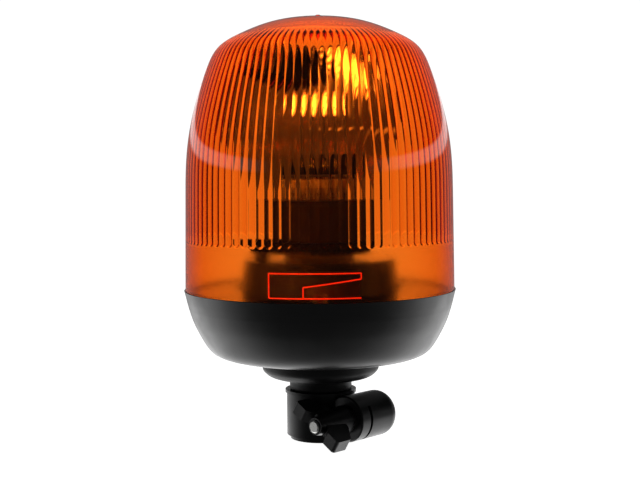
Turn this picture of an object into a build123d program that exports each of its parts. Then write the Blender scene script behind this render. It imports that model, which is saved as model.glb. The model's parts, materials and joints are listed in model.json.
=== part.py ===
"""Rotating warning beacon with an amber lens, on a flexible socket that clamps to a pole.

Millimetres. +Z runs up the beacon's axis, z = 0 is the mouth of the pole socket, and the
front of the beacon is its -Y side. Every piece is one node, written to parts/NODE.step.
"""
from build123d import *
from math import cos, pi, radians, sin, sqrt
import os

os.makedirs("parts", exist_ok=True)

# ---------------------------------------------------------------- driving dimensions
# Pole socket and its clamp
bore_r = 12.5            # fits a 25 mm pole spigot
bore_depth = 22.0
socket_r = 16.6
socket_top = 24.0
lip_r = 14.9             # reduced lip round the mouth
lip_height = 2.0
rim_r = 17.3             # raised rim round the top
rim_height = 1.4
spigot_r = 12.0          # the rubber neck is bonded round this
spigot_top = 27.5
slit_width = 1.6
slit_top = 19.0

clamp_angle = -43.0      # direction from the socket's axis to the clamp boss, degrees from +X
clamp_reach = 22.0       # socket axis to bolt axis
clamp_z = 12.5
clamp_boss_r = 11.0
boss_front = 6.7         # along the bolt, from the slit
boss_back = -21.5
bolt_r = 3.0             # M6
bolt_end = 28.7
bolt_head_r = 5.5
bolt_head_front = -14.0
bolt_head_length = 4.0
washer_r = 6.4
washer_thick = 1.4
nut_root_r = 7.0
nut_nose_r = 4.0
nut_end = 27.6
insert_r = 4.6
insert_length = 11.0
wing_reach = 15.2
wing_width = 6.2
wing_lean = 31.4         # the upper wing's rise above the horizontal, degrees

# Contacts at the bottom of the socket: a sprung centre pin and an earth leaf round it
earth_outer_r = 10.8
earth_inner_r = 8.6
earth_thick = 0.7
insulator_r = 6.0
insulator_bore_r = 3.1
insulator_low = 22.3
insulator_top = 34.0
contact_r = 2.4
contact_low = 22.6
contact_top = 27.4
spring_top = 32.0
spring_wire_r = 0.3
spring_turns = 3

# Rubber neck
neck_r = 15.1
neck_low = 24.1
neck_sleeve_top = 29.1
neck_bottom_r = 18.6
neck_bottom_z = 29.7
neck_cup_r = 28.4
neck_cup_z = 34.7
neck_top = 39.95
neck_waist_r = 19.7
neck_flange_r = 26.0
neck_flange_low = 43.05
neck_flange_top = 46.0
neck_hollow_r = 8.0

# Base housing
floor_low = 40.0
floor_top = 43.0
floor_hole_r = 20.0
bowl_curve = [(36.3, 40.0), (45.8, 40.65), (52.0, 42.9), (56.7, 48.6), (60.1, 55.0), (63.55, 64.3)]
bowl_shoulder = (64.4, 67.6)
bowl_wall = 3.2
base_rim_r = 65.7
base_rim_z = 73.0
ledge_z = 71.0
ledge_outer_r = 64.0
ledge_inner_r = 60.0
neck_screw_circle = 30.0
neck_plate_r = 34.0
neck_plate_low = 46.05
neck_plate_thick = 1.6
pillar_circle = 44.0
pillar_r = 5.0
pillar_top = 69.5
pillar_angles = (30.0, 150.0, 270.0)

# Chassis, which carries the lamp, the motor and the lens lugs
chassis_r = 59.7
chassis_low = 69.55
chassis_thick = 3.0
turret_low_r = 38.5
turret_top_r = 36.5
turret_top = 88.0
turret_wall = 2.5
lug_inner_r = 57.6
lug_outer_r = 61.6
lug_foot = 73.6          # the lug reaches out over the seal from here up
lug_top = 86.7
lug_start = -21.9        # degrees from the front, towards +X
lug_stop = -7.0
lug_end = 17.5
ramp_low = 79.8          # underside of the arm at the stop
ramp_high = 83.2         # and at its open end
lug_count = 2

# Lamp and its pillar
lamp_pillar_r = 12.0
lamp_pillar_bore = 9.6
lamp_pillar_top = 122.0
holder_r = 13.0
holder_top = 126.0
lamp_cap_r = 4.9
lamp_flange_r = 7.0
lamp_flange_z = 127.0
lamp_glass_r = 4.6
lamp_glass_top = 161.0
filament_z = 152.0

# Gear train: an external pair
gear_module = 0.8
gear_teeth = 60
pinion_teeth = 12
gear_low = 90.5
gear_high = 96.5
gear_gap = 0.12          # taken off each flank
motor_angle = 170.0
gear_distance = gear_module * (gear_teeth + pinion_teeth) / 2

# Turntable, cradle and reflector
bush_r = 14.0
bush_clearance = 0.06
drum_r = 25.0
drum_low = 97.2
drum_top = 114.0
drum_groove_in = 16.2
drum_groove_out = 22.5
cradle_ring_top = 116.2
cradle_ring_in = 15.4
cradle_back = 24.0
cradle_half_width = 16.0
cradle_rib = 3.0
cradle_top = 146.0
facing = -115.0          # where the reflector faces at rest, degrees from +X
focal_length = 16.0
reflector_r = 37.5
reflector_wall = 1.4
lamp_cutout_r = 14.6
foot_offset = 19.0
foot_along = 2.0

# Motor
motor_r = 12.0
motor_low = 52.6
motor_top = 69.45
motor_cap_low = 50.2
motor_shaft_r = 1.15
motor_shaft_top = 85.0
motor_wall = 1.2
motor_roof = 2.5
magnet_inner_r = 8.8
magnet_half_angle = 58.0
armature_r = 8.4
armature_low = 55.0
armature_high = 64.0
armature_slots = 3

# Lens and seal
seal_inner_r = 61.95
seal_outer_r = 63.7
seal_low = 71.05
seal_high = 73.1
lens_low = 73.2
lens_wall = 2.8
lens_foot_r = 65.1
lens_skirt_r = 64.4
lens_skirt_top = 121.0
lens_crown = [(62.9, 144.5), (58.8, 163.6), (53.8, 178.8), (48.3, 188.8), (38.4, 195.2), (23.4, 201.0)]
lens_apex = 203.7
pip_r = 1.5
pip_top = 204.8
wedge_inner_r = 59.0
wedge_low = 74.6
wedge_gap = 0.3


# ---------------------------------------------------------------- helpers
def rod(radius, low, high, x=0.0, y=0.0):
    """Upright cylinder between two heights."""
    return Pos(x, y, (low + high) / 2) * Cylinder(radius, high - low)


def ring(outer, inner, low, high, x=0.0, y=0.0):
    """Upright tube between two heights."""
    return rod(outer, low, high, x, y) - rod(inner, low - 1, high + 1, x, y)


def cone(r_low, r_high, low, high):
    return Pos(0, 0, (low + high) / 2) * Cone(r_low, r_high, high - low)


def block(low, high):
    """Box between two opposite corners."""
    size = [b - a for a, b in zip(low, high)]
    return Pos(*[(a + b) / 2 for a, b in zip(low, high)]) * Box(*size)


def polar(radius, degrees):
    return radius * cos(radians(degrees)), radius * sin(radians(degrees))


def turned(*lines):
    """Solid of revolution about Z from lines and arcs drawn in the XZ plane."""
    outline = Wire([edge for line in lines for edge in line.edges()])
    return revolve(Face(outline), Axis.Z)


def in_section(radius, height):
    """A point of a section, which is drawn in the XZ plane."""
    return radius, 0, height


def section_line(*points):
    return Polyline(*[in_section(*p) for p in points])


def inset_path(path, inset):
    """Points of a section's path moved towards the axis, square to the path."""
    moved = []
    for i, (r, z) in enumerate(path):
        before = path[max(i - 1, 0)]
        after = path[min(i + 1, len(path) - 1)]
        dr, dz = after[0] - before[0], after[1] - before[1]
        length = sqrt(dr * dr + dz * dz)
        moved.append((r - inset * dz / length, z + inset * dr / length))
    return moved


def save(shape, node):
    """Write one node; a group of fasteners is one compound of separate solids."""
    shape.label = node
    export_step(shape, f"parts/{node}.step")


def wire(radius, corner, *points):
    """Insulated wire on straight runs joined by tangent arcs."""
    path = FilletPolyline(*points, radius=corner)
    start = Plane(origin=path @ 0, z_dir=path % 0)
    return sweep(start * Circle(radius), path=path)


def gear_wheel(teeth, low, high):
    """Straight-sided teeth on the pitch circle; a tooth is centred on local +X."""
    pitch_r = gear_module * teeth / 2
    tip_r = pitch_r + 0.85 * gear_module
    root_r = pitch_r - 1.15 * gear_module
    half_pitch = gear_module * pi / 4 - gear_gap
    tip_half = half_pitch - 0.85 * gear_module * sin(radians(20))
    root_half = half_pitch + 1.15 * gear_module * sin(radians(20))
    tooth = Polyline((root_r - 0.3, -root_half), (tip_r, -tip_half), (tip_r, tip_half),
                     (root_r - 0.3, root_half), close=True)
    profile = Circle(root_r) + [Rot(0, 0, 360 * i / teeth) * make_face(tooth) for i in range(teeth)]
    return Pos(0, 0, low) * extrude(profile, high - low)


# Frames: the bolt's axis with the slit at z = 0, and the reflector's axis at its focus
clamp_x, clamp_y = polar(clamp_reach, clamp_angle)
bolt_plane = Plane(origin=(clamp_x, clamp_y, clamp_z), x_dir=(*polar(-1, clamp_angle), 0),
                   z_dir=(*polar(1, clamp_angle - 90), 0))
mirror_plane = Plane(origin=(0, 0, filament_z), x_dir=(*polar(1, facing + 90), 0),
                     z_dir=(*polar(1, facing), 0))
rotor_turn = Rot(0, 0, facing)


# ---------------------------------------------------------------- socket and clamp
def pole_clamp():
    body = rod(socket_r, lip_height, socket_top) + rod(lip_r, 0, lip_height + 1)
    body += rod(rim_r, socket_top - rim_height, socket_top)
    body += rod(spigot_r, socket_top - 1, spigot_top)
    boss = Pos(0, 0, (boss_front + boss_back) / 2) * Cylinder(clamp_boss_r, boss_front - boss_back)
    boss = fillet(boss.edges().filter_by(GeomType.CIRCLE).sort_by(Axis.Z)[0], 6.5)
    boss = chamfer(boss.edges().filter_by(GeomType.CIRCLE).sort_by(Axis.Z)[-1], 0.6)
    body += bolt_plane * boss
    body -= rod(bore_r, -1, bore_depth)
    body -= rod(insulator_r + 0.05, bore_depth - 1, spigot_top + 1)
    body -= ring(earth_outer_r + 0.1, earth_inner_r - 0.1, bore_depth - 1, bore_depth + earth_thick + 0.1)
    slit = Pos(clamp_reach, 0, slit_top / 2) * Box(2 * clamp_reach, slit_width, slit_top + 2)
    slit = Pos(0, 0, -1) * slit
    body -= Rot(0, 0, clamp_angle) * slit
    shank = bolt_end - bolt_head_front
    body -= bolt_plane * Pos(0, 0, bolt_head_front + shank / 2) * Cylinder(bolt_r + 0.25, shank)
    pocket_length = bolt_head_length + 0.1
    pocket = Cylinder(bolt_head_r + 0.05, pocket_length)
    return body - bolt_plane * Pos(0, 0, bolt_head_front - bolt_head_length / 2) * pocket


def clamp_bolt():
    shank = bolt_end - bolt_head_front
    bolt = Pos(0, 0, bolt_head_front + shank / 2) * Cylinder(bolt_r, shank)
    bolt = chamfer(bolt.edges().filter_by(GeomType.CIRCLE).sort_by(Axis.Z)[-1], 0.6)
    head_centre = bolt_head_front - bolt_head_length / 2
    bolt += Pos(0, 0, head_centre) * Cylinder(bolt_head_r, bolt_head_length)
    return bolt_plane * bolt


def clamp_washer():
    centre = boss_front + 0.05 + washer_thick / 2
    return bolt_plane * Pos(0, 0, centre) * (Cylinder(washer_r, washer_thick)
                                              - Cylinder(bolt_r + 0.2, washer_thick + 1))


nut_low = boss_front + washer_thick + 0.1
wing_turn = -wing_lean


def wing_nut():
    hub_length = nut_end - nut_low
    hub = Pos(0, 0, nut_low + hub_length / 2) * Cone(nut_root_r, nut_nose_r, hub_length)
    # One wing in the plane of the bolt's axis: along it (Z) and outwards (X)
    outline = Polyline((0, nut_low + 3.5), (8.0, nut_low + 5.5), (wing_reach, nut_low + 11),
                       (wing_reach, nut_end + 0.6), (wing_reach - 7.0, nut_end + 0.6),
                       (5.0, nut_end - 3.5), (0, nut_end - 3.0), close=True)
    wing = extrude(Plane.XZ * make_face(outline), wing_width / 2, both=True)
    wing = fillet(wing.edges().filter_by(Axis.Y).group_by(Axis.X)[-1], 1.5)
    nut = hub
    for side in (0, 180):
        nut += Rot(0, 0, wing_turn + side) * wing
    bore_length = nut_end - nut_low + 4
    nut -= Pos(0, 0, (nut_low + nut_end) / 2) * Cylinder(bolt_r + 0.25, bore_length)
    nut -= Pos(0, 0, nut_low + insert_length / 2 - 0.5) * Cylinder(insert_r + 0.02, insert_length + 1)
    return bolt_plane * nut


def nut_insert():
    sleeve = Cylinder(insert_r, insert_length) - Cylinder(bolt_r + 0.05, insert_length + 1)
    return bolt_plane * Pos(0, 0, nut_low + insert_length / 2) * sleeve


# ---------------------------------------------------------------- socket contacts
def contact_insulator():
    return ring(insulator_r, insulator_bore_r, insulator_low, insulator_top - 1.5) + \
        rod(insulator_r, insulator_top - 1.5, insulator_top)


def centre_contact():
    pin = rod(contact_r, contact_low, contact_top)
    pin += rod(insulator_bore_r - 0.06, contact_top - 1.2, contact_top)
    return fillet(pin.edges().filter_by(GeomType.CIRCLE).sort_by(Axis.Z)[0], 0.8)


def contact_spring():
    low = contact_top + spring_wire_r + 0.05
    height = spring_top - low - spring_wire_r
    path = Helix(pitch=height / spring_turns, height=height, radius=insulator_bore_r - 0.8)
    start = Plane(origin=path @ 0, z_dir=path % 0)
    return Pos(0, 0, low) * sweep(start * Circle(spring_wire_r), path=path, is_frenet=True)


def earth_contact():
    """Leaf let into the bore's end wall, where the pole's end touches it."""
    low = bore_depth + 0.05
    leaf = ring(earth_outer_r, earth_inner_r, low, low + earth_thick)
    gap = block((-earth_outer_r - 1, 0, low - 1), (0, earth_outer_r + 1, low + earth_thick + 1))
    return leaf - gap


# ---------------------------------------------------------------- rubber neck
def flex_neck():
    outer = [
        section_line((neck_hollow_r, neck_flange_top), (neck_hollow_r, spigot_top + 0.05),
                     (spigot_r + 0.05, spigot_top + 0.05), (spigot_r + 0.05, neck_low), (neck_r, neck_low),
                     (neck_r, neck_sleeve_top - 1.0)),
        ThreePointArc(in_section(neck_r, neck_sleeve_top - 1.0), in_section(neck_r + 0.8, neck_sleeve_top + 0.1),
                      in_section(neck_bottom_r, neck_bottom_z)),
        ThreePointArc(in_section(neck_bottom_r, neck_bottom_z), in_section(25.3, 30.9),
                      in_section(neck_cup_r, neck_cup_z)),
        section_line((neck_cup_r, neck_cup_z), (neck_cup_r, neck_top), (neck_waist_r, neck_top),
                     (neck_waist_r, neck_flange_low), (neck_flange_r, neck_flange_low),
                     (neck_flange_r, neck_flange_top), (neck_hollow_r, neck_flange_top)),
    ]
    return turned(*outer)


def feed_wires():
    """Two wires that bend with the neck, from the contact to the base housing."""
    low = insulator_top + 0.05
    top = neck_plate_low + 6
    return Compound([rod(1.1, low, top, x) for x in (-2.5, 2.5)])


# ---------------------------------------------------------------- base housing
def bowl_outside():
    """The base housing's outer shape, filled."""
    return turned(
        section_line((0, floor_low), bowl_curve[0]),
        Spline(*[in_section(*p) for p in bowl_curve], tangents=[(1, 0, 0), (0.3, 0, 1)]),
        section_line(bowl_curve[-1], bowl_shoulder, (base_rim_r, base_rim_z), (0, base_rim_z), (0, floor_low)))


def bowl_inside():
    """Its hollow, with the ledge for the seal."""
    above = base_rim_z + 1
    curve = inset_path(bowl_curve, bowl_wall)[1:-1]
    curve = [(bowl_curve[0][0], floor_top)] + curve + [(ledge_inner_r, 65.5)]
    return turned(
        section_line((0, floor_top), curve[0]),
        Spline(*[in_section(*p) for p in curve], tangents=[(1, 0, 0), (0.1, 0, 1)]),
        section_line(curve[-1], (ledge_inner_r, ledge_z), (ledge_outer_r, ledge_z),
                     (ledge_outer_r, above), (0, above), (0, floor_top)))


def base_housing():
    pillars = []
    holes = [rod(floor_hole_r, floor_low - 1, floor_top + 1)]
    for angle in pillar_angles:
        x, y = polar(pillar_circle, angle)
        pillars.append(rod(pillar_r, floor_low, pillar_top, x, y) & bowl_outside())
        holes.append(rod(1.65, pillar_top - 14, pillar_top + 1, x, y))
    for i in range(4):
        x, y = polar(neck_screw_circle, 45 + 90 * i)
        pillars.append(rod(3.4, floor_top - 0.5, neck_flange_top, x, y))
        holes.append(rod(1.65, floor_top - 1.0, neck_flange_top + 1, x, y))
    drain_x, drain_y = polar(36.0, 100)
    holes.append(rod(1.5, floor_low - 1, floor_top + 1, drain_x, drain_y))
    return bowl_outside() - bowl_inside() + pillars - holes


def neck_plate():
    plate = ring(neck_plate_r, 10.0, neck_plate_low, neck_plate_low + neck_plate_thick)
    for i in range(4):
        x, y = polar(neck_screw_circle, 45 + 90 * i)
        plate -= rod(2.2, neck_plate_low - 1, neck_plate_low + neck_plate_thick + 1, x, y)
    return plate


def pan_screw(shank_r, head_r, head_height, low, seat, x, y):
    """Upright screw: its head stands on the seat, its tip reaches down to low."""
    screw = rod(shank_r, low, seat, x, y) + rod(head_r, seat, seat + head_height, x, y)
    top = seat + head_height
    return screw - block((x - head_r, y - 0.4, top - 0.8), (x + head_r, y + 0.4, top + 1))


def neck_screws():
    seat = neck_plate_low + neck_plate_thick + 0.02
    places = [polar(neck_screw_circle, 45 + 90 * i) for i in range(4)]
    return Compound([pan_screw(1.6, 3.2, 2.0, floor_top - 0.5, seat, x, y) for x, y in places])


# ---------------------------------------------------------------- chassis
def front_prism(points, inner, outer):
    """A shape drawn from the front in X and Z, kept where it crosses a ring."""
    face = make_face(Polyline(*[(x, 0, z) for x, z in points], close=True))
    prism = Pos(0, -outer - 4, 0) * extrude(face, 24, dir=(0, 1, 0))
    low = min(z for _, z in points)
    high = max(z for _, z in points)
    return prism & ring(outer, inner, low - 1, high + 1)


def across(degrees, radius):
    """Sideways place of an angle measured from the front."""
    return radius * sin(radians(degrees))


lug_mid_r = (lug_inner_r + lug_outer_r) / 2
ramp_slope = (ramp_high - ramp_low) / (across(lug_end, lug_mid_r) - across(lug_stop, lug_mid_r))


def lens_lug():
    """Stop with an arm over the lens's wedge; its foot stays inside the seal."""
    x0, x1, x2 = [across(a, lug_mid_r) for a in (lug_start, lug_stop, lug_end)]
    points = [(x0, lug_foot), (x1, lug_foot), (x1, ramp_low), (x2, ramp_high), (x2, lug_top), (x0, lug_top)]
    foot = [(x0, chassis_low + 1), (x1, chassis_low + 1), (x1, lug_foot + 1), (x0, lug_foot + 1)]
    return front_prism(points, lug_inner_r, lug_outer_r) + front_prism(foot, lug_inner_r, chassis_r - 0.3)


def motor_place():
    return polar(gear_distance, motor_angle)


def motor_screw_places():
    x, y = motor_place()
    return [(x + dx, y + dy) for dx, dy in (polar(8.5, motor_angle + 90), polar(8.5, motor_angle - 90))]


def chassis():
    top = chassis_low + chassis_thick
    body = rod(chassis_r, chassis_low, top)
    turret = cone(turret_low_r, turret_top_r, top - 0.5, turret_top)
    roof = turret_top - turret_wall
    body += turret - cone(turret_low_r - turret_wall, turret_top_r - turret_wall, top - 1, roof)
    body += [Rot(0, 0, 360 * i / lug_count) * lens_lug() for i in range(lug_count)]
    motor_x, motor_y = motor_place()
    body -= rod(5.6, chassis_low - 1, top + 1, motor_x, motor_y)
    body -= rod(6.4, roof - 1, turret_top + 1, motor_x, motor_y)
    for x, y in motor_screw_places():
        body -= rod(1.5, chassis_low - 1, top + 1, x, y)
    body -= rod(lamp_pillar_r + 0.05, roof - 1, turret_top + 1)
    body -= rod(6.0, chassis_low - 1, top + 1)
    for angle in pillar_angles:
        x, y = polar(pillar_circle, angle)
        body -= rod(2.1, chassis_low - 1, top + 1, x, y)
    return body


def chassis_screws():
    seat = chassis_low + chassis_thick + 0.02
    places = [polar(pillar_circle, angle) for angle in pillar_angles]
    return Compound([pan_screw(1.6, 3.4, 2.2, pillar_top - 12, seat, x, y) for x, y in places])


# ---------------------------------------------------------------- lamp
def lamp_pillar():
    low = chassis_low + chassis_thick + 0.02
    pillar = ring(lamp_pillar_r, lamp_pillar_bore, low, lamp_pillar_top)
    pillar += ring(17.0, lamp_pillar_bore, low, low + 2)
    groove = ring(lamp_pillar_r + 1, lamp_pillar_r - 0.8, 115.0, 116.2)
    return pillar - groove


def pillar_circlip():
    clip = ring(lamp_pillar_r + 2.2, lamp_pillar_r - 0.75, 115.05, 116.15)
    return clip - block((-4, 0, 114), (4, 20, 118))


def thrust_washer():
    return ring(17.0, lamp_pillar_r + 0.1, turret_top + 0.02, turret_top + 1.0)


def lamp_holder():
    hole_r = lamp_cap_r + 0.15
    holder = ring(holder_r, hole_r, lamp_pillar_top + 0.02, holder_top)
    return holder + ring(lamp_pillar_bore - 0.05, hole_r, lamp_pillar_top - 6, lamp_pillar_top + 1)


def lamp_base():
    cap = rod(lamp_cap_r, holder_top - 12, lamp_flange_z)
    cap += rod(lamp_flange_r, holder_top + 0.02, lamp_flange_z)
    blade = block((-3.2, -0.4, holder_top - 20), (3.2, 0.4, holder_top - 11.5))
    return cap + blade - rod(3.6, lamp_flange_z - 2, lamp_flange_z + 1)


def lamp_glass():
    """Closed glass envelope, hollow round the filament."""
    hollow_r = lamp_glass_r - 0.8
    neck = lamp_flange_z + 4
    body = lamp_flange_z + 8
    tip = lamp_glass_top - lamp_glass_r
    envelope = rod(3.5, lamp_flange_z - 1.9, neck) + cone(3.5, lamp_glass_r, neck, body)
    envelope += rod(lamp_glass_r, body, tip) + Pos(0, 0, tip) * Sphere(lamp_glass_r)
    return envelope - rod(hollow_r, body + 1, tip) - Pos(0, 0, tip) * Sphere(hollow_r)


def lamp_filament():
    """Coil along the lamp's axis between its two support wires."""
    coil = rod(0.8, filament_z - 3, filament_z + 3)
    rise = rod(0.3, lamp_flange_z + 9.05, filament_z - 2.9)
    side = rod(0.3, lamp_flange_z + 9.05, filament_z + 4.1, 2.4)
    bridge = block((-0.3, -0.3, filament_z + 3.5), (2.6, 0.3, filament_z + 4.1))
    drop = rod(0.3, filament_z + 2.9, filament_z + 4)
    return coil + rise + side + bridge + drop


def lamp_clip():
    """Spring wire that holds the lamp's flange down on its holder."""
    z = lamp_flange_z + 0.6
    loop = wire(0.5, 2.5, (-9.5, -7.0, z), (-9.5, 5.2, z), (9.5, 5.2, z), (9.5, -7.0, z))
    for x in (-9.5, 9.5):
        loop += rod(0.9, holder_top + 0.05, z + 0.5, x, -7.2)
    return loop


# ---------------------------------------------------------------- turntable and reflector
def mirror_bowl(shift, depth):
    """Filled paraboloid about the reflector's axis, set back by shift behind the mirror surface."""
    rim = sqrt(4 * focal_length * (depth + shift))
    curve = Bezier((0, 0, -focal_length - shift),
                   (rim / 2, 0, -focal_length - shift),
                   (rim, 0, depth - focal_length))
    front = depth - focal_length
    closing = section_line((rim, front), (0, front), (0, -focal_length - shift))
    return mirror_plane * turned(curve, closing)


mirror_depth = reflector_r ** 2 / (4 * focal_length)


def reflector():
    """Parabolic mirror with its focus on the lamp's filament."""
    shell = mirror_bowl(reflector_wall, mirror_depth) - mirror_bowl(0, mirror_depth)
    feet = []
    for side in (-1, 1):
        foot = block((foot_along - 4, side * foot_offset - 3.2, cradle_ring_top + 0.1),
                     (foot_along + 4, side * foot_offset + 3.2, 126))
        feet.append(rotor_turn * foot - mirror_bowl(reflector_wall / 2, mirror_depth))
    shell = shell + feet - rod(lamp_cutout_r, 100, filament_z - 14)
    for x, y in screw_places():
        shell -= rod(1.2, cradle_ring_top - 1, cradle_ring_top + 4, x, y)
    return shell


def screw_places():
    places = []
    for side in (-1, 1):
        spot = rotor_turn * Pos(foot_along, side * foot_offset, 0)
        places.append((spot.position.X, spot.position.Y))
    return places


def reflector_cradle():
    """Ring on the turntable with two ribs and a web behind the reflector."""
    base = ring(drum_r, cradle_ring_in, drum_top + 0.02, cradle_ring_top)
    low = cradle_ring_top - 1
    web_front = -cradle_back + 2.5
    web = block((-cradle_back, -cradle_half_width, low), (web_front, cradle_half_width, cradle_top))
    ribs = [block((-cradle_back, s, low), (-5, s + cradle_rib, cradle_top))
            for s in (-cradle_half_width, cradle_half_width - cradle_rib)]
    saddle = rotor_turn * (web + ribs) - mirror_bowl(reflector_wall + 0.05, mirror_depth)
    saddle -= rod(cradle_ring_in, low - 1, cradle_top)
    cradle = base + saddle
    for x, y in screw_places():
        cradle -= rod(1.7, drum_top - 1, cradle_ring_top + 1, x, y)
    return cradle


def reflector_screws():
    """Two screws that come up through the cradle into the reflector's feet."""
    screws = []
    for x, y in screw_places():
        shank = rod(1.15, drum_top, cradle_ring_top + 3.5, x, y)
        screws.append(shank + rod(2.5, drum_top - 1.8, drum_top, x, y))
    return Compound(screws)


def turntable_gear():
    wheel = gear_wheel(gear_teeth, gear_low, gear_high)
    drum = rod(drum_r - 3, gear_high - 1, drum_low + 0.5) + rod(drum_r, drum_low, drum_top)
    drum -= ring(drum_groove_out, drum_groove_in, drum_low + 2.8, drum_top + 1)
    return wheel + drum - rod(bush_r + 0.02, gear_low - 1, drum_top + 1)


def turntable_bush():
    sleeve = ring(bush_r, lamp_pillar_r + bush_clearance, turret_top + 1.1, drum_top + 0.8)
    return sleeve + ring(16.4, lamp_pillar_r + bush_clearance, turret_top + 1.1, gear_low - 0.05)


# ---------------------------------------------------------------- motor
def motor_can():
    x, y = motor_place()
    can = rod(motor_r, motor_low, motor_top, x, y)
    can -= rod(motor_r - motor_wall, motor_low - 1, motor_top - motor_roof, x, y)
    can -= rod(motor_shaft_r + 0.3, motor_low - 1, motor_top + 1, x, y)
    for sx, sy in motor_screw_places():
        can -= rod(1.25, motor_top - motor_roof - 1, motor_top + 1, sx, sy)
    return can


def motor_magnets():
    """Two curved magnets on the can's wall."""
    x, y = motor_place()
    tube = ring(motor_r - motor_wall - 0.05, magnet_inner_r, armature_low - 1, armature_high + 1)
    reach = motor_r / cos(radians(magnet_half_angle))
    near, far = polar(reach, magnet_half_angle), polar(reach, -magnet_half_angle)
    sector = Pos(0, 0, armature_low - 2) * make_face(Polyline((0, 0), near, far, close=True))
    wedge = extrude(sector, armature_high - armature_low + 4)
    return Pos(x, y, 0) * Compound([tube & Rot(0, 0, turn) * wedge for turn in (0, 180)])


def motor_armature():
    """Wound core and commutator on the shaft."""
    x, y = motor_place()
    core = rod(armature_r, armature_low, armature_high)
    for i in range(armature_slots):
        slot_x, slot_y = polar(armature_r, 360 * i / armature_slots)
        core -= rod(1.6, armature_low - 1, armature_high + 1, slot_x, slot_y)
    core += rod(3.0, motor_low + 0.6, armature_low + 1)
    return Pos(x, y, 0) * (core - rod(motor_shaft_r + 0.01, motor_low - 1, motor_top))


def motor_cap():
    x, y = motor_place()
    cap = rod(motor_r - 0.4, motor_cap_low, motor_low - 0.02, x, y)
    return cap - rod(motor_shaft_r + 0.05, motor_cap_low + 0.8, motor_low + 1, x, y)


def motor_bearing():
    x, y = motor_place()
    return ring(4.4, motor_shaft_r + 0.03, motor_top + 0.02, motor_top + 2.6, x, y)


def motor_screws():
    seat = chassis_low + chassis_thick + 0.02
    low = motor_top - motor_roof
    return Compound([pan_screw(1.2, 2.4, 1.6, low, seat, x, y) for x, y in motor_screw_places()])


def motor_shaft():
    x, y = motor_place()
    return rod(motor_shaft_r, motor_cap_low + 0.9, motor_shaft_top, x, y)


def motor_pinion():
    """Pinion with a long hub; half a tooth pitch off the gear's tooth so that they mesh."""
    x, y = motor_place()
    mesh_turn = motor_angle + 180 + 180 / pinion_teeth + (motor_angle * gear_teeth / pinion_teeth) % 360
    wheel = Rot(0, 0, mesh_turn) * gear_wheel(pinion_teeth, gear_low - 0.3, gear_high + 0.3)
    wheel += rod(3.6, motor_top + 5.0, gear_low)
    wheel -= rod(motor_shaft_r + 0.01, motor_top, motor_shaft_top + 0.3)
    return Pos(x, y, 0) * wheel


# ---------------------------------------------------------------- electrics in the base
def suppressor():
    """Radio-suppression capacitor under the chassis."""
    case = block((14, 12, chassis_low - 13), (32, 21, chassis_low - 0.1))
    return fillet(case.edges().filter_by(Axis.Z), 1.5)


terminal_low = (-2.0, -38.0, chassis_low - 13)
terminal_high = (24.0, -25.0, chassis_low - 0.1)


def terminal_block():
    body = block(terminal_low, terminal_high)
    body = chamfer(body.edges().filter_by(Axis.X), 1.2)
    for i in range(3):
        x = terminal_low[0] + 5 + 8 * i
        body -= Pos(x, terminal_high[1] - 3, terminal_low[2] + 5) * Rot(90, 0, 0) * Cylinder(1.6, 8)
    return body


def supply_wires():
    """From the neck to the terminals."""
    start_z = neck_plate_low + 6.2
    z = terminal_low[2] + 5
    wires = []
    for x_start, i in ((-2.5, 0), (2.5, 1)):
        x = terminal_low[0] + 5 + 8 * i
        wires.append(wire(1.1, 4.0, (x_start, 0, start_z), (x_start, -1.0, z - 1), (x, -17.0, z),
                          (x, terminal_high[1] + 0.2, z)))
    return Compound(wires)


def lamp_wire():
    """Up the pillar to the lamp's blade."""
    z = terminal_low[2] + 5
    x = terminal_low[0] + 21
    return wire(1.1, 4.0, (x, terminal_high[1] + 0.2, z), (x, -12.0, z), (0.5, -2.2, z + 6),
                (0, 0, z + 20), (0, 0, holder_top - 20.2))


def motor_wires():
    x, y = motor_place()
    low = motor_cap_low - 0.1
    return Compound([rod(0.9, low - 1.2, low, x + dx, y + 3) for dx in (-3, 3)])


# ---------------------------------------------------------------- lens and seal
def lens_seal():
    return ring(seal_outer_r, seal_inner_r, seal_low, seal_high)


def lens_solid(inset, low):
    """Filled lens shape, drawn in by inset from the outer surface."""
    crown = [(lens_skirt_r, lens_skirt_top)] + lens_crown + [(0, lens_apex)]
    path = [(lens_foot_r, lens_low)] + crown
    drawn_in = inset_path(path, inset)[:-1] + [(0, lens_apex - inset)]
    foot = (drawn_in[0][0] + (low < lens_low) * 0.01, low)
    curve = Spline(*[in_section(*p) for p in drawn_in[1:]],
                   tangents=[(lens_skirt_r - lens_foot_r, 0, lens_skirt_top - lens_low), (-1, 0, 0)])
    return turned(section_line((0, low), foot, drawn_in[1]), curve, section_line(drawn_in[-1], (0, low)))


def lens_wedge():
    """Inward lug that locks under the chassis arm; its top follows the arm's ramp."""
    x1, x2 = across(lug_stop + 0.4, lug_mid_r), across(lug_end - 0.4, lug_mid_r)
    stop_x = across(lug_stop, lug_mid_r)
    heights = [ramp_low + ramp_slope * (x - stop_x) - wedge_gap for x in (x1, x2)]
    points = [(x1, wedge_low), (x2, wedge_low), (x2, heights[1]), (x1, heights[0])]
    return front_prism(points, wedge_inner_r, lens_foot_r - 1)


def lens():
    shell = lens_solid(0, lens_low) - lens_solid(lens_wall, lens_low - 1)
    shell += [Rot(0, 0, 360 * i / lug_count) * lens_wedge() for i in range(lug_count)]
    return shell + rod(pip_r, lens_apex - 1, pip_top)


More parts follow.
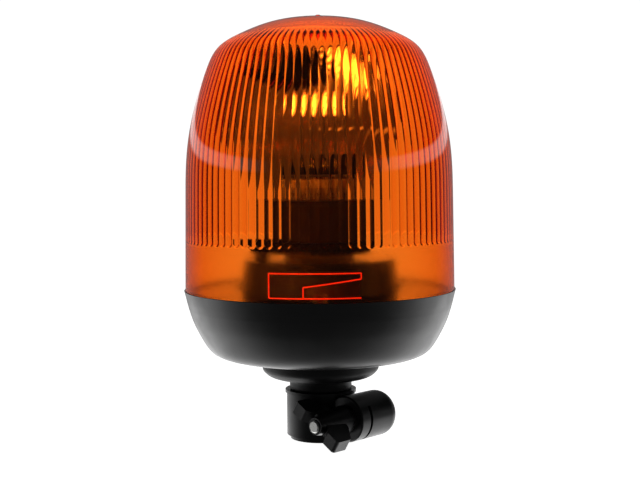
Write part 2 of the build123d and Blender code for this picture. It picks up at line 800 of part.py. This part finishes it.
pieces = [pole_clamp, clamp_bolt, clamp_washer, wing_nut, nut_insert, contact_insulator, centre_contact,
          contact_spring, earth_contact, flex_neck, feed_wires, base_housing, neck_plate, neck_screws,
          chassis, chassis_screws, lamp_pillar, pillar_circlip, thrust_washer, lamp_holder, lamp_base,
          lamp_glass, lamp_filament, lamp_clip, reflector, reflector_cradle, reflector_screws,
          turntable_gear, turntable_bush, motor_can, motor_magnets, motor_armature, motor_cap, motor_bearing,
          motor_screws, motor_shaft, motor_pinion, suppressor, terminal_block, supply_wires, lamp_wire,
          motor_wires, lens_seal, lens]

for make in pieces:
    save(make(), make.__name__)
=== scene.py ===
"""Looks of the rotating warning beacon: materials, the fluted lens, the rubber neck, light and camera.

Metres in the scene; the sizes named below are in millimetres and are turned into metres by MM.
"""

import json
from math import atan, cos, pi, radians, sin, sqrt

import bmesh
import bpy
import numpy as np
from mathutils import Matrix, Vector


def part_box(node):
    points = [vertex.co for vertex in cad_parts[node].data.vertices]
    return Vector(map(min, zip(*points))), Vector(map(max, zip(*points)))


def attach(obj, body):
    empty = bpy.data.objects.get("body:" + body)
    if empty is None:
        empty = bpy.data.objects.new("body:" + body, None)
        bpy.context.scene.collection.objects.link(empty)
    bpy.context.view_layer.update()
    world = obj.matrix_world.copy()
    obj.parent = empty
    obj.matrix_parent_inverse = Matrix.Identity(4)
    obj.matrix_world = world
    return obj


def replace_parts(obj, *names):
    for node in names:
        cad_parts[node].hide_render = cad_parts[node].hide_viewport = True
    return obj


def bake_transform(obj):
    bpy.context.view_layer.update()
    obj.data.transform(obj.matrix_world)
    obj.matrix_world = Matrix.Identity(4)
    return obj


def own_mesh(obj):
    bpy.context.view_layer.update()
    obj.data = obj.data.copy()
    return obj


MM = 0.001

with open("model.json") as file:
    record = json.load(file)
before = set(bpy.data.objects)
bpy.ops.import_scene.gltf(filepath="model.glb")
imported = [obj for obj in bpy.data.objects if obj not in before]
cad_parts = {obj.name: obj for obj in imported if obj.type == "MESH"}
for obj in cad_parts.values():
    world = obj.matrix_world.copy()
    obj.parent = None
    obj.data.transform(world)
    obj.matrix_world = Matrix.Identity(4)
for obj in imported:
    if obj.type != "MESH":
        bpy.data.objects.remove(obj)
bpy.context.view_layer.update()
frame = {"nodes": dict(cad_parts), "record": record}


# ---------------------------------------------------------------- materials
def add_node(tree, kind, **values):
    """A node with its settings, or else its input sockets, set by name."""
    made = tree.nodes.new(kind)
    for name, value in values.items():
        if hasattr(made, name):
            setattr(made, name, value)
        else:
            made.inputs[name.replace("_", " ")].default_value = value
    return made


class Shader:
    """A Principled material with short calls for the textures that every surface needs."""

    def __init__(self, name, colour, roughness, **sockets):
        self.material = bpy.data.materials.new(name)
        self.material.use_nodes = True
        self.tree = self.material.node_tree
        self.bsdf = self.tree.nodes["Principled BSDF"]
        self.bsdf.inputs["Base Color"].default_value = (*colour, 1)
        self.bsdf.inputs["Roughness"].default_value = roughness
        for socket, value in sockets.items():
            self.bsdf.inputs[socket.replace("_", " ")].default_value = value

    def node(self, kind, **values):
        return add_node(self.tree, kind, **values)

    def link(self, source, target):
        self.tree.links.new(source, target)

    def place(self, stretch=(1, 1, 1)):
        """Object coordinates, in metres, stretched along each axis; 0 flattens an axis."""
        coordinates = self.node("ShaderNodeTexCoord")
        mapping = self.node("ShaderNodeMapping", Scale=stretch)
        self.link(coordinates.outputs["Object"], mapping.inputs["Vector"])
        return mapping.outputs["Vector"]

    def noise(self, size, detail):
        """Noise with features of about the given size in millimetres."""
        texture = self.node("ShaderNodeTexNoise", Scale=1 / (size * MM), Detail=detail)
        self.link(self.place(), texture.inputs["Vector"])
        return texture.outputs["Fac"]

    def ramp(self, source, low, high, start=0.3, end=0.7):
        """Straight ramp from low at start to high at end, held beyond them."""
        span = self.node("ShaderNodeMapRange", From_Min=start, From_Max=end, To_Min=low, To_Max=high)
        self.link(source, span.inputs["Value"])
        return span.outputs["Result"]

    def vary_roughness(self, source, low, high):
        self.link(self.ramp(source, low, high), self.bsdf.inputs["Roughness"])

    def vary_colour(self, source, first, second):
        mix = self.node("ShaderNodeMix", data_type="RGBA")
        mix.inputs["A"].default_value = (*first, 1)
        mix.inputs["B"].default_value = (*second, 1)
        self.link(self.ramp(source, 0, 1, 0.35, 0.65), mix.inputs["Factor"])
        self.link(mix.outputs["Result"], self.bsdf.inputs["Base Color"])

    def bump(self, source, depth):
        """Surface relief, depth in millimetres."""
        relief = self.node("ShaderNodeBump", Strength=1.0, Distance=depth * MM)
        self.link(source, relief.inputs["Height"])
        self.link(relief.outputs["Normal"], self.bsdf.inputs["Normal"])


def moulded_plastic(name, colour, gloss, grain=0.35, depth=0.012):
    """Satin moulding: fine spark-eroded grain, and roughness that drifts over the surface."""
    shader = Shader(name, colour, gloss)
    shader.vary_roughness(shader.noise(14, 3), gloss - 0.05, gloss + 0.07)
    shader.bump(shader.noise(grain, 4), depth)
    return shader.material


def plated_metal(name, colour, roughness):
    shader = Shader(name, colour, roughness, Metallic=1.0)
    shader.vary_roughness(shader.noise(3, 4), roughness - 0.06, roughness + 0.1)
    shader.bump(shader.noise(0.6, 3), 0.006)
    return shader.material


def rubber():
    shader = Shader("black_rubber", (0.014, 0.014, 0.015), 0.5)
    shader.vary_roughness(shader.noise(9, 3), 0.44, 0.58)
    shader.bump(shader.noise(0.45, 4), 0.02)
    return shader.material


AMBER_DENSITY = 1000.0                        # absorption for each metre looked through
AMBER_KEEPS = (0.99, 0.62, 0.0)               # share of red, green and blue the absorption spares
CLEAR, MATT = 0.02, 0.2                       # roughness of the lens's faces
MATT_BELOW, MATT_WITHIN = 0.0962, 0.0637      # the foot band's inner face, in metres
MATT_FADE = 0.0005


def amber():
    """Clear amber plastic, deeper in colour where it is thicker, with a matt inner face at its foot."""
    shader = Shader("amber_lens", (1.0, 1.0, 1.0), CLEAR, Transmission_Weight=1.0, IOR=1.52)
    depth = shader.node("ShaderNodeVolumeAbsorption", Density=AMBER_DENSITY, Color=(*AMBER_KEEPS, 1))
    output = shader.tree.nodes["Material Output"]
    shader.link(depth.outputs["Volume"], output.inputs["Volume"])
    reach = shader.node("ShaderNodeVectorMath", operation="LENGTH")
    shader.link(shader.place((1, 1, 0)), reach.inputs[0])
    split = shader.node("ShaderNodeSeparateXYZ")
    shader.link(shader.place(), split.inputs["Vector"])
    inner = shader.ramp(reach.outputs["Value"], 1.0, 0.0, MATT_WITHIN - MATT_FADE, MATT_WITHIN)
    low = shader.ramp(split.outputs["Z"], 1.0, 0.0, MATT_BELOW - 2 * MATT_FADE, MATT_BELOW)
    matt = shader.node("ShaderNodeMath", operation="MULTIPLY")
    shader.link(inner, matt.inputs[0])
    shader.link(low, matt.inputs[1])
    shader.link(shader.ramp(matt.outputs["Value"], CLEAR, MATT, 0.0, 1.0), shader.bsdf.inputs["Roughness"])
    return shader.material


def painted_edge_highlight():
    """Painted edge highlight: a red glow with no lamp behind it, standing in for the light the lug edges
    catch through the amber wall.
    """
    shader = Shader("painted_edge_glow", (0.8, 0.05, 0.01), 0.3, Emission_Strength=0.9,
                    Emission_Color=(1.0, 0.035, 0.012, 1))
    shader.vary_roughness(shader.noise(4, 2), 0.22, 0.4)
    return shader.material


def mirror():
    shader = Shader("mirror_coating", (0.9, 0.9, 0.92), 0.05, Metallic=1.0)
    shader.vary_roughness(shader.noise(6, 2), 0.03, 0.1)
    shader.bump(shader.noise(9, 1), 0.03)
    return shader.material


def clear_glass():
    shader = Shader("clear_glass", (0.98, 0.99, 1.0), 0.01, Transmission_Weight=1.0, IOR=1.47)
    shader.vary_roughness(shader.noise(5, 2), 0.0, 0.03)
    return shader.material


def cable():
    shader = Shader("wire_insulation", (0.3, 0.02, 0.015), 0.35)
    shader.vary_colour(shader.noise(2.5, 2), (0.32, 0.02, 0.015), (0.22, 0.015, 0.012))
    shader.bump(shader.noise(0.5, 2), 0.01)
    return shader.material


looks = {
    "black_plastic": moulded_plastic("black_plastic", (0.012, 0.012, 0.013), 0.34),
    "gloss_black": moulded_plastic("gloss_black", (0.01, 0.01, 0.011), 0.1, depth=0.003),
    "zinc_steel": plated_metal("zinc_steel", (0.6, 0.6, 0.58), 0.3),
    "brass": plated_metal("brass", (0.72, 0.5, 0.22), 0.3),
    "pale_insulator": moulded_plastic("pale_insulator", (0.72, 0.69, 0.6), 0.45),
    "black_rubber": rubber(),
    "wire_insulation": cable(),
    "lamp_metal": plated_metal("lamp_metal", (0.66, 0.65, 0.62), 0.26),
    "clear_glass": clear_glass(),
    "tungsten": plated_metal("tungsten", (0.3, 0.3, 0.32), 0.4),
    "dark_ferrite": moulded_plastic("dark_ferrite", (0.03, 0.03, 0.033), 0.5),
    "wound_core": plated_metal("wound_core", (0.45, 0.2, 0.09), 0.38),
    "mirror_coating": mirror(),
    "blue_film": moulded_plastic("blue_film", (0.03, 0.08, 0.3), 0.25),
    "amber_lens": amber(),
    # painted edge highlight: an emissive red standing in for the light caught at the lug edges
    "painted_edge_glow": painted_edge_highlight(),
}
slot_of = {part["node"]: part["material_slot"] for part in frame["record"]["subparts"]}
variants = {"chassis": "gloss_black"}
for name, node in frame["nodes"].items():
    node.data.materials.clear()
    node.data.materials.append(looks[variants.get(name, slot_of[name])])


# ---------------------------------------------------------------- mesh helpers
def finish_piece(name, mesh, body, slot, look=None, sharp=35.0):
    """Shade the mesh, give it its slot's material or a variant, and let it ride on its body.

    A piece that will bend between two bodies rides on none.
    """
    mesh.validate()
    mesh.shade_smooth()
    mesh.set_sharp_from_angle(angle=radians(sharp))
    piece = bpy.data.objects.new(name, mesh)
    bpy.context.scene.collection.objects.link(piece)
    mesh.materials.append(looks[look or slot])
    if body:
        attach(piece, body)
    return piece


def smooth_through(points, count, start, end):
    """Evenly spaced points of the cubic spline through a few points; start and end are its directions."""
    p = np.array(points, float)
    t = np.concatenate([[0], np.cumsum(np.linalg.norm(np.diff(p, axis=0), axis=1))])
    n = len(p)
    h = np.diff(t)
    system, right = np.zeros((n, n)), np.zeros((n, 2))
    for i in range(1, n - 1):
        system[i, i - 1:i + 2] = h[i], 2 * (h[i - 1] + h[i]), h[i - 1]
        right[i] = 3 * (h[i] * (p[i] - p[i - 1]) / h[i - 1] + h[i - 1] * (p[i + 1] - p[i]) / h[i])
    for row, direction in ((0, start), (n - 1, end)):
        system[row, row] = 1
        right[row] = np.array(direction, float) / np.linalg.norm(direction)
    slope = np.linalg.solve(system, right)
    fine = np.linspace(0, t[-1], count * 8)
    k = np.clip(np.searchsorted(t, fine, side="right") - 1, 0, n - 2)
    u = ((fine - t[k]) / h[k])[:, None]
    step = h[k][:, None]
    curve = ((2 * u**3 - 3 * u**2 + 1) * p[k] + (u**3 - 2 * u**2 + u) * step * slope[k]
             + (3 * u**2 - 2 * u**3) * p[k + 1] + (u**3 - u**2) * step * slope[k + 1])
    run = np.concatenate([[0], np.cumsum(np.linalg.norm(np.diff(curve, axis=0), axis=1))])
    even = np.linspace(0, run[-1], count)
    return np.column_stack([np.interp(even, run, curve[:, i]) for i in range(2)])


def normals_of(path):
    """Unit normals of a path in the (r, z) plane, pointing away from the axis."""
    along = np.gradient(path, axis=0)
    along /= np.linalg.norm(along, axis=1)[:, None]
    return np.column_stack([along[:, 1], -along[:, 0]])


def grid_faces(rows, columns, flip=False):
    """Quads between closed rows of vertices stored one after another."""
    faces = []
    for i in range(rows - 1):
        for j in range(columns):
            k = (j + 1) % columns
            quad = (i * columns + j, i * columns + k, (i + 1) * columns + k, (i + 1) * columns + j)
            faces.append(quad[::-1] if flip else quad)
    return faces


def closed_mesh(name, made):
    """The mesh of a finished bmesh, with its normals outwards."""
    bmesh.ops.recalc_face_normals(made, faces=made.faces)
    mesh = bpy.data.meshes.new(name)
    made.to_mesh(mesh)
    made.free()
    return mesh


def join_rings(made, first, second):
    """Quads between two rings with the same number of vertices."""
    for j in range(len(first)):
        k = (j + 1) % len(first)
        made.faces.new((first[j], first[k], second[k], second[j]))


def lathe_mesh(name, outline, segments):
    """Closed surface of revolution of a closed outline of (r, z) in millimetres."""
    made = bmesh.new()
    angles = [2 * pi * j / segments for j in range(segments)]
    rings = []
    for r, z in outline:
        rings.append([made.verts.new((r * cos(a) * MM, r * sin(a) * MM, z * MM)) for a in angles])
    for lower, upper in zip(rings, rings[1:] + rings[:1]):
        join_rings(made, lower, upper)
    return closed_mesh(name, made)


THREAD_SIDES = 8


def thread_mesh(name, runs, radius):
    """Fine round threads along runs of points, closed at both ends."""
    made = bmesh.new()
    for run in runs:
        rings = []
        for i, point in enumerate(run):
            ahead = run[min(i + 1, len(run) - 1)] - run[max(i - 1, 0)]
            ahead.normalize()
            side = Vector((point.x, point.y, 0)).normalized()
            other = ahead.cross(side).normalized()
            side = other.cross(ahead)
            rings.append([made.verts.new((point + radius * (cos(t) * side + sin(t) * other)) * MM)
                          for t in (2 * pi * k / THREAD_SIDES for k in range(THREAD_SIDES))])
        for first, second in zip(rings, rings[1:]):
            join_rings(made, first, second)
        made.faces.new(rings[0][::-1])
        made.faces.new(rings[-1])
    return closed_mesh(name, made)


# ---------------------------------------------------------------- lens
FLUTES = 96
FLUTE_STEPS = 10
FLUTE_DEPTH = 0.4
SKIN = 2.1               # wall outside the flutes
FLUTE_START = 96.4       # top of the smooth foot band
FLUTE_ROUND = 1.8        # rise of each flute's rounded lower end
FLUTE_RISE = 0.7         # height in which a flute reaches its depth
FLUTE_RISE_ROWS = FLUTE_START + np.arange(0.1, 3.0, 0.35)
FLUTE_END_R = 39.0       # the flutes stop here, short of the crown
FLUTE_FADE = 1.2         # width in which they fade out
LENS_FOOT = (65.1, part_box("lens")[0].z / MM)
LENS_CROWN = [(64.4, 121.0), (62.9, 144.5), (58.8, 163.6), (53.8, 178.8), (48.3, 188.8), (38.4, 195.2),
              (23.4, 201.0), (0.0, 203.7)]
PIP = [(1.7, 203.66), (1.5, 204.35), (0.95, 204.72), (0.0, 204.8)]
PIP_CLEAR_R = 2.2        # the dome's own rows stop here
LEAST_R = 0.2            # keeps the innermost row off the axis
BAND_ROWS, CROWN_ROWS = 28, 62


def dome_profile():
    """Outside of the dome from its foot to its top, as (r, z), without the pip."""
    band = np.linspace(LENS_FOOT, LENS_CROWN[0], BAND_ROWS)[:-1]
    crown = smooth_through(LENS_CROWN, CROWN_ROWS, start=(-0.7, 48), end=(-1, 0))
    return np.vstack([band, crown])


def with_heights(path, heights):
    """The path with points added at the given heights."""
    added = np.column_stack([np.interp(heights, path[:, 1], path[:, 0]), heights])
    return np.array(sorted(np.vstack([path, added]).tolist(), key=lambda p: (p[1], -p[0])))


def soft_step(value):
    t = np.clip(value, 0, 1)
    return t * t * (3 - 2 * t)


def flute_inset(r, z, phase):
    """Depth of the inner face under the outer one, at each place across a flute."""
    across = 2 * phase - 1
    rises = soft_step((z - FLUTE_START - FLUTE_ROUND * across**2) / FLUTE_RISE)
    fades = soft_step((r - FLUTE_END_R) / FLUTE_FADE) if z > LENS_CROWN[2][1] else 1.0
    return SKIN + FLUTE_DEPTH * rises * fades * (1 - across**2)


def fluted_lens():
    """The dome with its pip outside and its flutes inside, as one closed shell."""
    dome = dome_profile()
    outside = np.vstack([dome[dome[:, 0] > PIP_CLEAR_R], PIP])
    inside = with_heights(dome, FLUTE_RISE_ROWS)
    inward = normals_of(inside)
    columns = FLUTES * FLUTE_STEPS
    angle = 2 * pi * np.arange(columns) / columns
    phase = (np.arange(columns) % FLUTE_STEPS) / FLUTE_STEPS
    vertices = []
    for r, z in outside[:-1]:
        vertices.append(np.column_stack([r * np.cos(angle), r * np.sin(angle), np.full(columns, z)]))
    for (r, z), n in zip(inside[:-1], inward[:-1]):
        inset = flute_inset(r, z, phase)
        reach = np.maximum(r - n[0] * inset, LEAST_R)
        vertices.append(np.column_stack([reach * np.cos(angle), reach * np.sin(angle), z - n[1] * inset]))
    rows_out, rows_in = len(outside) - 1, len(inside) - 1
    points = np.vstack(vertices + [[(0, 0, outside[-1, 1])], [(0, 0, inside[-1, 1] - SKIN)]]) * MM
    first_in = rows_out * columns
    faces = grid_faces(rows_out, columns)
    faces += [tuple(first_in + v for v in quad) for quad in grid_faces(rows_in, columns, flip=True)]
    top_out, top_in = len(points) - 2, len(points) - 1
    last_out = (rows_out - 1) * columns
    last_in = first_in + (rows_in - 1) * columns
    for j in range(columns):
        k = (j + 1) % columns
        faces.append((k, j, first_in + j, first_in + k))
        faces.append((last_out + j, last_out + k, top_out))
        faces.append((last_in + k, last_in + j, top_in))
    mesh = bpy.data.meshes.new("lens_dome")
    mesh.from_pydata(points.tolist(), [], faces)
    return finish_piece("lens_dome", mesh, "lens", "amber_lens", sharp=40)


# Bayonet: two lugs on the chassis, two wedges in the lens that lock under them
LUG_COUNT = 2
LUG_ANGLES = (-21.9, -7.0, 17.5)     # start, stop and open end, degrees from the front towards +X
LUG_TOP, LUG_MID_R = 86.7, 59.6
RAMP = (79.8, 83.2)
WEDGE_LOW, WEDGE_GAP, WEDGE_IN_R = 74.6, 0.3, 59.0
WEDGE_SIDE_GAP = 0.4     # degrees
WEDGE_STEPS, WEDGE_BEVEL = 14, 0.25
WEDGE_CORNER = 0.6       # radians between the faces at an edge that is bevelled
LENS_WALL = 2.8
# size and place of the painted highlight lines round the lugs
HIGHLIGHT_LINE_R, HIGHLIGHT_LINE_GAP = 0.3, 0.02         # the gap is to the lens wall
HIGHLIGHT_LINE_APART = 0.5
HIGHLIGHT_LINE_LOW, HIGHLIGHT_LINE_DROP = 74.9, 0.9      # lowest painted highlight lines, and how far the top one is under the lug's top


def across(degrees):
    return LUG_MID_R * sin(radians(degrees))


def ramp_height(x):
    return np.interp(x, (across(LUG_ANGLES[1]), across(LUG_ANGLES[2])), RAMP)


def lens_wedges():
    """The wedges, as curved blocks just inside the lens wall."""
    made = bmesh.new()
    x_low, x_high = across(LUG_ANGLES[1] + WEDGE_SIDE_GAP), across(LUG_ANGLES[2] - WEDGE_SIDE_GAP)
    outer_r = LENS_FOOT[0] - LENS_WALL
    for turn in range(LUG_COUNT):
        spin = Matrix.Rotation(2 * pi * turn / LUG_COUNT, 3, "Z")
        sections = []
        for i in range(WEDGE_STEPS + 1):
            x = x_low + (x_high - x_low) * i / WEDGE_STEPS
            top = ramp_height(x) - WEDGE_GAP
            corners = []
            for r, z in ((WEDGE_IN_R, WEDGE_LOW), (WEDGE_IN_R, top), (outer_r, top), (outer_r, WEDGE_LOW)):
                corners.append(made.verts.new(spin @ Vector((x, -sqrt(r * r - x * x), z)) * MM))
            sections.append(corners)
        for first, second in zip(sections, sections[1:]):
            join_rings(made, first, second)
        made.faces.new(sections[0])
        made.faces.new(sections[-1])
    bmesh.ops.recalc_face_normals(made, faces=made.faces)
    corner_edges = [edge for edge in made.edges if edge.calc_face_angle(0) > WEDGE_CORNER]
    bmesh.ops.bevel(made, geom=corner_edges, offset=WEDGE_BEVEL * MM, segments=2, affect="EDGES")
    finish_piece("lens_wedges", closed_mesh("lens_wedges", made), "lens", "amber_lens")


def painted_lug_highlights():
    """Painted highlight: thin glowing lines inside the lens round each lug and wedge, standing in for the
    light their edges catch through the amber wall.
    """
    x0, x1, x2 = [across(a) for a in LUG_ANGLES]
    low, top = HIGHLIGHT_LINE_LOW, LUG_TOP - HIGHLIGHT_LINE_DROP
    runs = []
    radius = LENS_FOOT[0] - LENS_WALL - HIGHLIGHT_LINE_R - HIGHLIGHT_LINE_GAP
    paths = [[(x0, low), (x0, top), (x2, top), (x2, RAMP[1])],
             [(x0 + HIGHLIGHT_LINE_R, low), (x2, low)],
             [(x1, low + HIGHLIGHT_LINE_APART), (x1, RAMP[0]), (x2, RAMP[1])]]
    for turn in range(LUG_COUNT):
        spin = Matrix.Rotation(2 * pi * turn / LUG_COUNT, 3, "Z")
        for path in paths:
            for (xa, za), (xb, zb) in zip(path, path[1:]):
                steps = max(2, int(abs(xb - xa)))
                run = []
                for i in range(steps + 1):
                    x, z = xa + (xb - xa) * i / steps, za + (zb - za) * i / steps
                    run.append(spin @ Vector((x, -sqrt(radius * radius - x * x), z)))
                runs.append(run)
    highlight_lines = thread_mesh("painted_lug_highlights", runs, HIGHLIGHT_LINE_R)
    # the painted highlight lines glow red though nothing lights them
    finish_piece("painted_lug_highlights", highlight_lines, "lens", "amber_lens", look="painted_edge_glow")


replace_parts(fluted_lens(), "lens")
lens_wedges()
painted_lug_highlights()


# ---------------------------------------------------------------- rubber neck, wires and spring
NECK_SPLIT = 33.5        # the height the two bending axes cross at
NECK_ENDS = (24.1, 43.0)
NECK_ROW, NECK_SEGMENTS = 0.8, 128   # height of a row of faces, faces round
CUP_ROWS = 22
NECK_HOLLOW = [(8.0, NECK_SPLIT), (8.0, 27.55)]
NECK_SLEEVE = [(12.05, 27.55), (12.05, 24.1), (14.7, 24.1), (15.1, 24.5), (15.1, 28.1), (15.35, 28.8),
               (16.1, 29.3)]
NECK_CUP = [(18.6, 29.7), (22.4, 30.05), (25.3, 31.0), (27.4, 32.7), (28.05, NECK_SPLIT), (28.4, 34.9)]
NECK_COLLAR = [(28.4, 39.45), (27.9, 39.95), (20.0, 39.95), (19.7, 40.25), (19.7, 43.05), (25.7, 43.05),
               (26.0, 43.35), (26.0, 45.7), (25.7, 46.0), (8.0, 46.0)]


def neck_pieces():
    """The neck in two rings, split at the height where the two tilting axes cross; neither rides on a
    body.
    """
    middle = NECK_CUP[-2]
    cup = smooth_through(NECK_CUP, CUP_ROWS, start=(1, 0.1), end=(0, 1)).tolist()
    below = [p for p in cup if p[1] < NECK_SPLIT]
    above = [p for p in cup if p[1] > NECK_SPLIT]
    lower = NECK_SLEEVE + below + [middle] + NECK_HOLLOW
    upper = [NECK_HOLLOW[0], middle] + above + NECK_COLLAR
    for name, outline, bodies, start, end in (
            ("neck_lower", lower, ("clamp", "neck"), NECK_ENDS[0], NECK_SPLIT),
            ("neck_upper", upper, ("neck", "head"), NECK_SPLIT, NECK_ENDS[1])):
        fine = []
        for a, b in zip(outline, outline[1:] + outline[:1]):
            parts = max(1, int(abs(b[1] - a[1]) / NECK_ROW))
            shares = [i / parts for i in range(parts)]
            fine += [(a[0] + (b[0] - a[0]) * t, a[1] + (b[1] - a[1]) * t) for t in shares]
        piece = finish_piece(name, lathe_mesh(name, fine, NECK_SEGMENTS), None, "black_rubber")
        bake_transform(piece)
        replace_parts(piece, "flex_neck")


WIRE_R, WIRE_ASIDE, WIRE_BOW, WIRE_STEPS = 1.02, 2.5, 0.08, 14
WIRE_LIFT = 0.45         # keeps the tilted wires off the insulator


def feed_pair():
    """The two wires through the neck, as one piece riding on no body."""
    low, high = [corner.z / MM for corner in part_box("feed_wires")]
    low += WIRE_LIFT
    shares = [i / WIRE_STEPS for i in range(WIRE_STEPS + 1)]
    runs = []
    for x in (-WIRE_ASIDE, WIRE_ASIDE):
        runs.append([Vector((x, WIRE_BOW * sin(pi * t), low + (high - low) * t)) for t in shares])
    piece = finish_piece("feed_pair", thread_mesh("feed_pair", runs, WIRE_R), None, "wire_insulation")
    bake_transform(piece)
    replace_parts(piece, "feed_wires")


SPRING_TURNS, SPRING_R, SPRING_WIRE_R, SPRING_STEPS = 4.5, 2.3, 0.29, 150
SPRING_LAY = ((0, 0.16, 0.84, 1), (0, 0.12, 0.88, 1))      # share of the wire, and of the rise it makes


def contact_coil():
    """The contact's spring, with closed end coils, riding on the clamp."""
    low, high = [corner.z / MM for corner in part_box("contact_spring")]
    run = []
    for i in range(SPRING_STEPS + 1):
        t = i / SPRING_STEPS
        rise = np.interp(t, *SPRING_LAY)
        angle = 2 * pi * SPRING_TURNS * t
        z = low + SPRING_WIRE_R + (high - low - 2 * SPRING_WIRE_R) * rise
        run.append(Vector((SPRING_R * cos(angle), SPRING_R * sin(angle), z)))
    coil = thread_mesh("contact_coil", [run], SPRING_WIRE_R)
    piece = finish_piece("contact_coil", coil, "clamp", slot_of["contact_spring"])
    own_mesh(piece)
    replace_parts(piece, "contact_spring")


neck_pieces()
feed_pair()
contact_coil()


# ---------------------------------------------------------------- camera and light
HORIZON_ROW = 158        # of the 480 rows of the frame
FRAME_ROWS, FRAME_COLUMNS = 480, 640
CAMERA_DISTANCE = 600.0
CAMERA_HEIGHT = 136.2
CAMERA_ASIDE = 0.5
CAMERA_ROLL = 0.45       # degrees
FOCAL_PIXELS = 1239.0
SENSOR = 36.0
WHITE = 1.05             # what the camera sees behind everything
BACKDROP = (0.12, 1.25)  # at the sides and in front, straight behind
BACKDROP_OUTSIDE = 0.2   # share of it for rays that don't come through a clear piece
TABLE = (0.08, 2.4)      # in front, behind
BAND = 1.3
LAMP = 16.0
LAMP_DIRECTION = Vector((-0.35, -0.80, -0.50)).normalized()     # towards the lamp the reflector mirrors


def camera():
    data = bpy.data.cameras.new("camera")
    data.sensor_width = SENSOR
    data.lens = FOCAL_PIXELS * SENSOR / FRAME_COLUMNS
    data.clip_start, data.clip_end = 0.01, 60
    made = bpy.data.objects.new("camera", data)
    bpy.context.scene.collection.objects.link(made)
    made.location = (CAMERA_ASIDE * MM, -CAMERA_DISTANCE * MM, CAMERA_HEIGHT * MM)
    pitch = atan((FRAME_ROWS / 2 - HORIZON_ROW) / FOCAL_PIXELS)
    made.rotation_euler = (radians(90) - pitch, radians(CAMERA_ROLL), 0)
    bpy.context.scene.camera = made


def soft_box(name, place, aim, size, power):
    """Area light that shiny faces don't mirror. Places and sizes are in metres."""
    data = bpy.data.lights.new(name, "AREA")
    data.shape = "RECTANGLE"
    data.size, data.size_y = size
    data.energy = power
    made = bpy.data.objects.new(name, data)
    bpy.context.scene.collection.objects.link(made)
    made.location = place
    made.rotation_euler = (Vector(aim) - Vector(place)).to_track_quat("-Z", "Y").to_euler()
    made.visible_glossy = False


def surroundings():
    """White straight behind, a pale table below that darkens to the front, and a bright band at eye level.

    The camera itself sees plain white. Rays through a clear piece also see a small lamp, and all
    other rays see a dimmer backdrop. The ramps run over the parts of a direction of length one.
    """
    world = bpy.data.worlds.new("studio")
    bpy.context.scene.world = world
    world.use_nodes = True
    tree = world.node_tree
    tree.nodes.clear()

    def node(kind, **values):
        return add_node(tree, kind, **values)

    def ramp(source, start, end, low, high):
        """Soft ramp from low at start to high at end, held beyond them."""
        span = node("ShaderNodeMapRange", From_Min=start, From_Max=end, To_Min=low, To_Max=high)
        span.interpolation_type = "SMOOTHSTEP"
        tree.links.new(source, span.inputs["Value"])
        return span.outputs["Result"]

    def maths(operation, first, second):
        made = node("ShaderNodeMath", operation=operation)
        tree.links.new(first, made.inputs[0])
        tree.links.new(second, made.inputs[1])
        return made.outputs[0]

    split = node("ShaderNodeSeparateXYZ")
    path = node("ShaderNodeLightPath").outputs
    through_clear = path["Is Transmission Ray"]
    generated = node("ShaderNodeTexCoord").outputs["Generated"]
    tree.links.new(generated, split.inputs["Vector"])
    depth, height = split.outputs["Y"], split.outputs["Z"]
    backdrop = maths("MULTIPLY", ramp(depth, 0.35, 0.93, *BACKDROP), ramp(height, 0.05, 0.2, 1.0, 0.9))
    backdrop = maths("MULTIPLY", backdrop, ramp(through_clear, 0.0, 1.0, BACKDROP_OUTSIDE, 1.0))
    table = maths("MULTIPLY", ramp(height, -0.3, -0.08, 1.0, 0.0), ramp(depth, -0.45, 0.55, *TABLE))
    band = maths("MULTIPLY", ramp(height, 0.06, 0.08, 0.0, 1.0), ramp(height, 0.12, 0.14, 1.0, 0.0))
    band = maths("MULTIPLY", band, ramp(depth, -0.8, -0.1, 0.0, BAND))
    towards = node("ShaderNodeVectorMath", operation="DOT_PRODUCT")
    towards.inputs[1].default_value = LAMP_DIRECTION
    tree.links.new(generated, towards.inputs[0])
    lamp = maths("MULTIPLY", ramp(towards.outputs["Value"], 0.95, 0.98, 0.0, LAMP), through_clear)
    light = maths("ADD", maths("ADD", maths("ADD", backdrop, table), band), lamp)
    seen = node("ShaderNodeBackground")
    tree.links.new(light, seen.inputs["Strength"])
    white = node("ShaderNodeBackground", Strength=WHITE, Color=(1, 1, 1, 1))
    mix = node("ShaderNodeMixShader")
    tree.links.new(path["Is Camera Ray"], mix.inputs["Fac"])
    tree.links.new(seen.outputs["Background"], mix.inputs[1])
    tree.links.new(white.outputs["Background"], mix.inputs[2])
    tree.links.new(mix.outputs["Shader"], node("ShaderNodeOutputWorld").inputs["Surface"])


FLOOR_Z = -5.0           # a little below the wing nut's lowest sweep


def floor():
    """Plain pale floor, left out of mirror images, bounced light and the view through clear pieces."""
    place = (0, 0, FLOOR_Z * MM)
    bpy.ops.mesh.primitive_circle_add(vertices=96, radius=6, fill_type="NGON", location=place)
    ground = bpy.context.object
    ground.name = "floor"
    shader = Shader("floor_white", (0.93, 0.93, 0.93), 0.9, Emission_Strength=1.0,
                    Emission_Color=(1, 1, 1, 1))
    shader.vary_colour(shader.noise(300, 2), (0.93, 0.93, 0.93), (0.9, 0.9, 0.9))
    ground.data.materials.append(shader.material)
    ground.visible_glossy = False
    ground.visible_diffuse = False
    ground.visible_transmission = False


camera()
surroundings()
floor()
bpy.context.scene.view_settings.view_transform = "Standard"
soft_box("overhead", (0.1, 0.35, 0.9), (0, 0, 0.14), (0.7, 0.5), 2)
